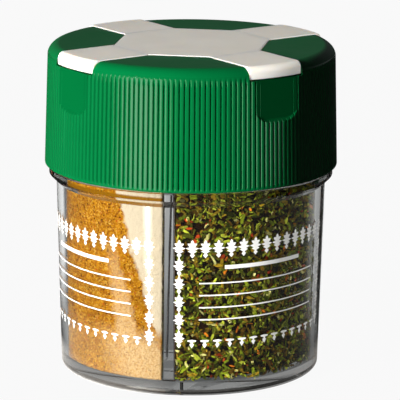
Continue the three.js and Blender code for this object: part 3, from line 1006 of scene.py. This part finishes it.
def make_hub(material):
    rings = [hub_ring(0, PLATE_Z)]
    for grow, drop in round_over(CREAM_EDGE, quarter_angles(CREAM_EDGE_STEPS)):
        rings.append(hub_ring(grow, TOP_Z - drop))
    hub = loft("hub", rings)
    edge = HUB_END
    notch = np.array([
        (edge - HINGE_NOTCH, PLATE_Z), (edge - HINGE_NOTCH, PLATE_Z - OVERCUT),
        (edge + OVERCUT, PLATE_Z - OVERCUT), (edge + OVERCUT, TOP_Z - HINGE_WEB),
        (edge, TOP_Z - HINGE_WEB),
    ])
    crease = np.array([
        (edge - CREASE_DEPTH, TOP_Z), (edge, TOP_Z - CREASE_DEPTH),
        (edge + OVERCUT, TOP_Z - CREASE_DEPTH), (edge + OVERCUT, TOP_Z + OVERCUT),
        (edge - CREASE_DEPTH, TOP_Z + OVERCUT),
    ])
    half = ARM_HALF + OVERCUT
    for side in (notch, crease):
        hub = cut(hub, on_arms(loft("hinge_cut", [across_arm(side, y) for y in (-half, half)])))
    barb_z = DECK_Z - SEAT_GAP
    peg = [
        (PEG_RADIUS, barb_z - PEG_BARB_HEIGHT), (PEG_RADIUS + PEG_BARB, barb_z),
        (PEG_RADIUS, barb_z), (PEG_RADIUS, TOP_Z - HINGE_WEB),
    ]
    hub = join(hub, on_arms(moved(lathe("peg", peg, HOLE_STEPS), (PEG_CENTRE, 0, 0))))
    return place(shade(hub, MOULDED_CREASE), "flap_hub_plate", "cap", material, ["flap_hub"])


def make_hinge_web(place_name, angle, material):
    """Thin strip of the living hinge between the hub and a flap."""
    reach = HINGE_SLIT / 2 + HINGE_OVERLAP
    half = ARM_HALF - CREAM_EDGE
    rings = []
    low = TOP_Z - HINGE_WEB + WEB_INSET
    for x in np.linspace(-reach, reach, WEB_STEPS + 1):
        dip = CREASE_DEPTH * (1 + math.cos(math.pi * x / reach)) / 2
        top = TOP_Z - CREASE_DEPTH / 2 - dip / 2
        corners = [(half, low), (half, top), (-half, top), (-half, low)]
        rings.append([(HINGE_RADIUS + x, y, z) for y, z in corners])
    web = turned(loft("web", rings), angle)
    place(shade(web, MOULDED_CREASE), "hinge_web_" + place_name, None, material)
    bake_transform(web)
    return web


# Spice


def resampled(outline, count):
    """Closed outline with its points spread evenly along it."""
    closed = np.vstack([outline, outline[:1]])
    length = np.r_[0, np.cumsum(np.linalg.norm(np.diff(closed, axis=0), axis=1))]
    marks = np.linspace(0, length[-1], count, endpoint=False)
    return np.c_[[np.interp(marks, length, closed[:, axis]) for axis in range(3)]].T


def heap(name, cell, gap, depth, rng):
    """Rough body of a filled compartment whose skin goes in and out by up to depth."""
    count = round(95 / cell)
    levels = np.linspace(FLOOR_Z + FLOOR_EDGE + gap, FILL_Z, round((FILL_Z - FLOOR_Z) / cell))
    pairs = [*zip(floor_rings(gap), floor_rings(gap + depth))]
    pairs += [(quadrant(z, gap), quadrant(z, gap + depth)) for z in levels]
    rings = []
    for outlines in pairs:
        near, far = (resampled(outline, count) for outline in outlines)
        rings.append(near + (far - near) * rng.random((count, 1)))
    edge = near
    middle = edge.mean(0)
    for share in np.linspace(1, 0.02, round(22 / cell))[1:]:
        top = middle + (edge - middle) * share
        top[:, 2] = FILL_Z + FILL_CROWN * (1 - share**2) - depth * rng.random(count)
        rings.append(top)
    return loft(name, rings)


def make_powder(place_name, stops, grain, seed, dust_and_painted_light=None):
    rng = np.random.default_rng(seed)
    body = heap("powder", cell=0.36, gap=0.08, depth=0.22, rng=rng)
    body = turned(body, ARMS[place_name] - QUARTER / 2)
    node = "spice_" + place_name
    material = powder_material(node, stops, grain, dust_and_painted_light)
    return place(shade(body, NO_CREASE), node + "_powder", "jar", material, [node])


def keep_inside(points, gap):
    """Moves points of the first quadrant into the compartment, clear of its walls and corners."""
    z = points[:, 2]
    half = partition_half(z) + gap
    limit = compartment_radius(z) - gap
    points[:, :2] = np.maximum(points[:, :2], half[:, None])
    radius = np.hypot(points[:, 0], points[:, 1])
    points[:, :2] *= np.minimum(1, limit / radius)[:, None]
    corner = COMPARTMENT_CORNER
    near = half + corner
    far = np.sqrt((limit - corner) ** 2 - near**2)
    for x_axis, y_axis, along in ((0, 1, far), (1, 0, far), (0, 1, near)):
        x = points[:, x_axis]
        y = points[:, y_axis]
        beyond = (x > along) if along is far else (x < along)
        off = np.c_[x - along, y - near]
        reach = np.maximum(np.linalg.norm(off, axis=1), 1e-6)
        shrink = np.where(beyond & (y < near), np.minimum(1, corner / reach), 1)
        points[:, x_axis] = along + off[:, 0] * shrink
        points[:, y_axis] = near + off[:, 1] * shrink
    return points


def wall_spots(count, depth, rng):
    """Places and normals just inside the curved wall."""
    tilt = 0.06
    angle = rng.uniform(tilt, QUARTER - tilt, count)
    z = rng.uniform(SCRAP_LOW, FILL_Z, count)
    radius = compartment_radius(z) - rng.uniform(SCRAP_NEAR, depth, count)
    return polar(radius, angle, z), polar(1, angle, 0)


def partition_spots(count, depth, rng):
    """Places and normals just inside the two flat walls."""
    z = rng.uniform(SCRAP_LOW, FILL_Z, count)
    along = rng.uniform(2.0, COMPARTMENT_RADIUS - 3.0, count)
    off = partition_half(z) + rng.uniform(SCRAP_NEAR, depth, count)
    spots = np.c_[along, off, z]
    normals = np.tile([0.0, -1.0, 0.0], (count, 1))
    swap = rng.random(count) < 0.5
    spots[swap] = spots[swap][:, [1, 0, 2]]
    normals[swap] = normals[swap][:, [1, 0, 2]]
    return spots, normals


def top_spots(count, rng):
    """Places and normals on the heaped top."""
    angle = rng.uniform(0, QUARTER, count)
    radius = (COMPARTMENT_RADIUS - 1) * np.sqrt(rng.random(count))
    spots = polar(radius, angle, FILL_Z)
    away = np.linalg.norm(spots[:, :2] - COMPARTMENT_RADIUS * 0.45, axis=1) / (COMPARTMENT_RADIUS * 0.55)
    spots[:, 2] += FILL_CROWN * np.clip(1 - away**2, 0, 1) - rng.uniform(0, 0.3, count)
    return spots, np.tile([0.0, 0.0, 1.0], (count, 1))


def scraps(spots, normals, length, width, rng):
    """Points and faces of thin curled leaf scraps, each a closed solid lying across its normal."""
    count = len(spots)
    normals = normals + rng.normal(0, 0.5, (count, 3))
    normals /= np.linalg.norm(normals, axis=1, keepdims=True)
    along = np.cross(normals, rng.normal(size=(count, 3)))
    along /= np.linalg.norm(along, axis=1, keepdims=True)
    across = np.cross(normals, along)
    sides = SCRAP_SIDES
    angles = even_angles(sides)
    ragged = rng.uniform(0.55, 1.25, (count, sides))
    u = np.c_[np.cos(angles) * ragged * length[:, None] / 2, np.zeros(count)]
    v = np.c_[np.sin(angles) * ragged * width[:, None] / 2, np.zeros(count)]
    curl = rng.normal(0, 0.35, count) / length
    w = curl[:, None] * u**2
    thick = rng.uniform(0.04, 0.09, (count, 1, 1))
    skin = spots[:, None] + u[..., None] * along[:, None] + v[..., None] * across[:, None]
    skin = skin + w[..., None] * normals[:, None]
    offset = thick * normals[:, None]
    points = np.concatenate([skin + offset, skin - offset], axis=1)
    faces = []
    under = sides + 1
    for i in range(sides):
        j = (i + 1) % sides
        faces.append((i, j, sides))
        faces.append((under + j, under + i, under + sides))
        faces.append((i, under + i, under + j, j))
    return points, faces


def tinted(obj, colours):
    """Stores a colour for each point."""
    layer = obj.data.attributes.new("tint", "FLOAT_COLOR", "POINT")
    layer.data.foreach_set("color", np.c_[colours, np.ones(len(colours))].astype(np.float32).ravel())


def make_herbs(place_name, palette, length, width, seed):
    """Body under leaf scraps, nearly black as painted shade between them. The palette holds colours and how
    common each is.
    """
    rng = np.random.default_rng(seed)
    body = heap("herbs", cell=0.9, gap=0.75, depth=0.5, rng=rng)
    wall = wall_spots(WALL_SCRAPS, 0.9, rng)
    partition = partition_spots(PARTITION_SCRAPS, 0.8, rng)
    spots, normals = (np.concatenate(group) for group in zip(wall, partition, top_spots(TOP_SCRAPS, rng)))
    count = len(spots)
    sizes = rng.lognormal(0, 0.35, count)
    slim = rng.uniform(0.6, 1.3, count)
    points, pattern = scraps(spots, normals, length * sizes, width * np.sqrt(sizes) * slim, rng)
    per_scrap = points.shape[1]
    points = keep_inside(points.reshape(-1, 3), SCRAP_GAP)
    faces = []
    for start in range(0, count * per_scrap, per_scrap):
        faces += [tuple(start + corner for corner in face) for face in pattern]
    leaves = make_object("leaves", points, faces)
    colours = np.array([colour for colour, share in palette])
    shares = np.array([share for colour, share in palette])
    picked = colours[rng.choice(len(palette), count, p=shares / shares.sum())]
    picked = picked * rng.uniform(0.2, 2.2, (count, 1))
    tinted(leaves, np.repeat(picked, per_scrap, axis=0))
    # Painted shade: the body between the scraps is nearly black.
    painted_shade = colours.mean(0) * (0.06, 0.03, 0.02)
    tinted(body, np.tile(painted_shade, (len(body.data.vertices), 1)))
    whole = turned(gathered([body, leaves]), ARMS[place_name] - QUARTER / 2)
    node = "spice_" + place_name
    return place(shade(whole, LEAF_CREASE), node + "_herbs", "jar", flake_material(node), [node])


# Setting


def make_camera():
    back = from_camera(0, VIEW_ELEVATION)
    right = Vector((math.cos(VIEW_AZIMUTH), math.sin(VIEW_AZIMUTH), 0))
    target = (Vector((0, 0, AIM_Z)) + right * AIM_RIGHT) * MM
    data = bpy.data.cameras.new("camera")
    data.lens = LENS
    camera = add_object("camera", data)
    camera.location = target + back * VIEW_DISTANCE * MM
    roll = Quaternion((0, 0, 1), VIEW_ROLL)
    camera.rotation_mode = "QUATERNION"
    camera.rotation_quaternion = (-back).to_track_quat("-Z", "Y") @ roll
    bpy.context.scene.camera = camera


def from_camera(azimuth, elevation):
    """Direction from the object, with its azimuth measured from the camera, in degrees."""
    turn = VIEW_AZIMUTH + math.radians(azimuth)
    lift = math.radians(elevation)
    return Vector((math.sin(turn) * math.cos(lift), -math.cos(turn) * math.cos(lift), math.sin(lift)))


def soft_box(name, azimuth, elevation, distance, size, power, receivers=(), shines=False):
    """Lamp that faces the object and doesn't show in the picture. It lights all pieces or some.

    One that shines only shows as a highlight. The others make no highlights.
    """
    data = bpy.data.lights.new(name, "AREA")
    data.shape = "RECTANGLE"
    data.size, data.size_y = size
    data.energy = power
    light = add_object(name, data)
    back = from_camera(azimuth, elevation)
    light.location = Vector((0, 0, AIM_Z * MM)) + back * distance
    light.rotation_mode = "QUATERNION"
    light.rotation_quaternion = (-back).to_track_quat("-Z", "Y")
    light.visible_camera = False
    light.visible_transmission = False
    light.visible_glossy = shines
    light.visible_diffuse = not shines
    if receivers:
        group = bpy.data.collections.new(name + "_receivers")
        for piece in receivers:
            group.objects.link(piece)
        light.light_linking.receiver_collection = group


def make_strip():
    """Bright strip beside the jar, which only shows as a reflection and fades at its sides and foot."""
    spots = [from_camera(azimuth, 0) * STRIP_DISTANCE for azimuth in STRIP_AZIMUTHS]
    heights = (STRIP_LOW, STRIP_LOW, STRIP_HIGH, STRIP_HIGH)
    corners = [(spot.x, spot.y, z) for spot, z in zip((*spots, *reversed(spots)), heights)]
    strip = make_object("strip", corners, [(0, 1, 2, 3)])
    strip.data.transform(Matrix.Scale(MM, 4))
    material, tree, shader, where = new_material("strip")
    x, y, height = add_node(tree, "SeparateXYZ", {"Vector": where}).outputs
    ends = [math.atan2(spot.y, spot.x) for spot in spots]
    across = between(tree, calc(tree, "ARCTAN2", y, x), 0.0, 2 * QUARTER, *ends)
    fade = calc(tree, "POWER", calc(tree, "SINE", across), 4.0)
    strength = between(tree, height, 0.0, STRIP_STRENGTH, STRIP_LOW * MM, STRIP_HIGH * MM)
    glow = emission(tree, (1.0, 0.98, 0.95), calc(tree, "MULTIPLY", strength, fade))
    tree.links.new(glow, tree.nodes["Material Output"].inputs["Surface"])
    strip.data.materials.append(material)
    strip.visible_camera = False
    strip.visible_diffuse = False
    strip.visible_transmission = False
    strip.visible_shadow = False


def make_lights(side_lit, cap):
    """Hard key from the left, a fill from the right for pieces in which light spreads, and a dim room.

    A low lamp behind the object lights its back only, and one below the cap shines in its ribs.
    """
    soft_box("key", azimuth=-46, elevation=11.5, distance=1.2, size=(0.2, 0.3), power=38)
    soft_box("fill", azimuth=58, elevation=25, distance=1.2, size=(0.5, 0.5), power=7.0, receivers=side_lit)
    soft_box("back", azimuth=180, elevation=0, distance=0.8, size=(0.6, 0.07), power=9)
    glint = {"azimuth": -36, "elevation": -0.2, "distance": 0.25, "size": (0.14, 0.07), "power": 0.079}
    soft_box("glint", **glint, receivers=[cap], shines=True)
    make_strip()
    world = bpy.data.worlds.new("studio")
    world.use_nodes = True
    tree = world.node_tree
    rays = add_node(tree, "LightPath").outputs
    towards = add_node(tree, "TexCoord").outputs["Generated"]
    side, depth, height = add_node(tree, "SeparateXYZ", {"Vector": towards}).outputs
    room = tree.nodes["Background"]
    room.inputs["Color"].default_value = (0.93, 0.97, 1.0, 1.0)
    tree.links.new(between(tree, depth, ROOM_FRONT, ROOM_BACK, 0.3, 0.95), room.inputs["Strength"])
    backdrop = add_node(tree, "Background", {"Color": (1, 1, 1, 1), "Strength": BACKDROP}).outputs[0]
    share = between(tree, depth, FLOOR_BESIDE, THROUGH_MIDDLE, -0.3, 0.2)
    through = add_node(tree, "Background", {"Color": (1, 1, 1, 1), "Strength": share}).outputs[0]
    mix = shader_mix(tree, rays["Is Transmission Ray"], room.outputs["Background"], through)
    mix = shader_mix(tree, rays["Is Camera Ray"], mix, backdrop)
    tree.links.new(mix, tree.nodes["World Output"].inputs["Surface"])
    scene = bpy.context.scene
    scene.world = world
    scene.view_settings.view_transform = "Standard"
    scene.cycles.max_bounces = LIGHT_BOUNCES
    scene.cycles.glossy_bounces = LIGHT_BOUNCES
    scene.cycles.transmission_bounces = LIGHT_BOUNCES


def make_floor():
    """Pale floor that looks nearly white in the picture and bounces little light at the object."""
    half = 4000.0
    corners = [(-half, -half, 0), (half, -half, 0), (half, half, 0), (-half, half, 0)]
    floor = make_object("floor", corners, [(0, 1, 2, 3)])
    floor.data.transform(Matrix.Scale(MM, 4))
    floor.location.z = -0.05 * MM
    material, tree, shader, where = new_material("floor")
    rays = add_node(tree, "LightPath").outputs
    bounce = add_node(tree, "BsdfDiffuse", {"Color": (0.12, 0.12, 0.12, 1.0)}).outputs[0]
    side, depth, height = add_node(tree, "SeparateXYZ", {"Vector": where}).outputs
    left = between(tree, side, THROUGH_LEFT, THROUGH_MIDDLE, -FLOOR_NEAR * MM, 0.0)
    right = between(tree, side, 0.0, THROUGH_RIGHT - THROUGH_MIDDLE, 0.0, FLOOR_NEAR * MM)
    away = add_node(tree, "VectorMath", {0: where}, operation="LENGTH").outputs["Value"]
    reach = (FLOOR_NEAR * MM, FLOOR_FAR * MM)
    glow = between(tree, away, FLOOR_THROUGH, calc(tree, "ADD", left, right), *reach)
    beside = calc(tree, "SUBTRACT", calc(tree, "ABSOLUTE", side), COLLAR_RADIUS * MM)
    behind = calc(tree, "SUBTRACT", depth, beside)
    close = between(tree, side, FLOOR_BESIDE_LEFT, FLOOR_BESIDE, -COLLAR_RADIUS * MM, 0.0)
    close = between(tree, away, close, FLOOR_BESIDE, 60 * MM, 90 * MM)
    through = emission(tree, (1, 1, 1), between(tree, behind, close, glow, -10 * MM, 15 * MM))
    pale = shader_mix(tree, 0.94, bounce, emission(tree, (1, 1, 1), 1.0))
    dim = add_node(tree, "BsdfDiffuse", {"Color": (0.03, 0.03, 0.03, 1.0)}).outputs[0]
    edge = between(tree, side, EDGE_GLOW_SIDE, EDGE_GLOW, -30 * MM, -18 * MM)
    edge = between(tree, side, edge, EDGE_GLOW_FRONT, -8 * MM, 0.0)
    edge = between(tree, away, edge, 0.0, EDGE_GLOW_NEAR * MM, EDGE_GLOW_FAR * MM)
    mirrored = add_node(tree, "AddShader", {0: dim, 1: emission(tree, EDGE_GLOW_COLOUR, edge)})
    surface = shader_mix(tree, rays["Is Glossy Ray"], bounce, mirrored.outputs["Shader"])
    surface = shader_mix(tree, rays["Is Transmission Ray"], surface, through)
    surface = shader_mix(tree, rays["Is Camera Ray"], surface, pale)
    tree.links.new(surface, tree.nodes["Material Output"].inputs["Surface"])
    floor.data.materials.append(material)


make_camera()
make_floor()

make_jar(clear_plastic())
ink = print_ink()
green = (0.0004, 0.122, 0.03)
pale_green = (0.003, 0.16, 0.05)
dark_green = (0.0003, 0.09, 0.021)
cap_piece = make_cap(
    moulded_plastic("green_satin", green, pale_green, roughness=0.45, gloss=0.15),
    moulded_plastic("green_ribs", green, pale_green, roughness=0.14, gloss=0.65),
    # Darker, duller green on the floors of the thumb recesses
    moulded_plastic("green_darker_recess", dark_green, green, roughness=0.4, gloss=0.05),
)
cream = moulded_plastic(
    "cream_plastic", (0.94, 0.86, 0.76), (0.95, 0.9, 0.84), roughness=0.42, gloss=0.4, depth=2.5
)
thin_cream = moulded_plastic(
    "thin_cream_plastic", (0.86, 0.8, 0.72), (0.9, 0.85, 0.8), roughness=0.42, gloss=0.4
)
spreading = [make_hub(cream)]
for arm, arm_angle in ARMS.items():
    spreading.append(make_flap(arm, arm_angle, cream))
    spreading.append(make_hinge_web(arm, arm_angle, thin_cream))
    spreading.append(make_label(arm, ink))

make_powder(
    "front_left",
    [
        (0.0, (0.08, 0.022, 0.001)), (0.12, (0.24, 0.073, 0.002)),
        (0.5, (0.34, 0.127, 0.003)), (0.8, (0.42, 0.18, 0.008)),
        (0.93, (0.5, 0.27, 0.04)), (1.0, (0.34, 0.05, 0.003)),
    ],
    grain=0.36,
    seed=11,
    # Pale corner, thin bands (partly dust, partly painted reflection) and the painted shadow ring
    dust_and_painted_light=((0.53, 0.42, 0.3), (0.58, 0.37, 0.18), (0.2, 0.08, 0.003)),
)
make_powder(
    "back_left",
    [
        (0.0, (0.04, 0.006, 0.003)), (0.3, (0.13, 0.016, 0.006)),
        (0.7, (0.2, 0.035, 0.01)), (1.0, (0.28, 0.1, 0.03)),
    ],
    grain=0.3,
    seed=12,
)
spreading.append(make_herbs(
    "front_right",
    [
        ((0.125, 0.15, 0.006), 5), ((0.25, 0.26, 0.02), 3.5),
        ((0.045, 0.046, 0.003), 4), ((0.18, 0.11, 0.006), 4),
        ((0.07, 0.036, 0.003), 4), ((0.42, 0.37, 0.12), 0.8),
        ((0.38, 0.1, 0.006), 0.5), ((0.24, 0.027, 0.004), 0.4),
    ],
    length=1.5,
    width=0.7,
    seed=13,
))
make_herbs(
    "back_right",
    [
        ((0.14, 0.1, 0.03), 4), ((0.22, 0.16, 0.05), 3),
        ((0.08, 0.07, 0.02), 4), ((0.04, 0.03, 0.01), 3),
        ((0.36, 0.27, 0.12), 1),
    ],
    length=2.2,
    width=0.45,
    seed=14,
)

make_lights(spreading, cap_piece)
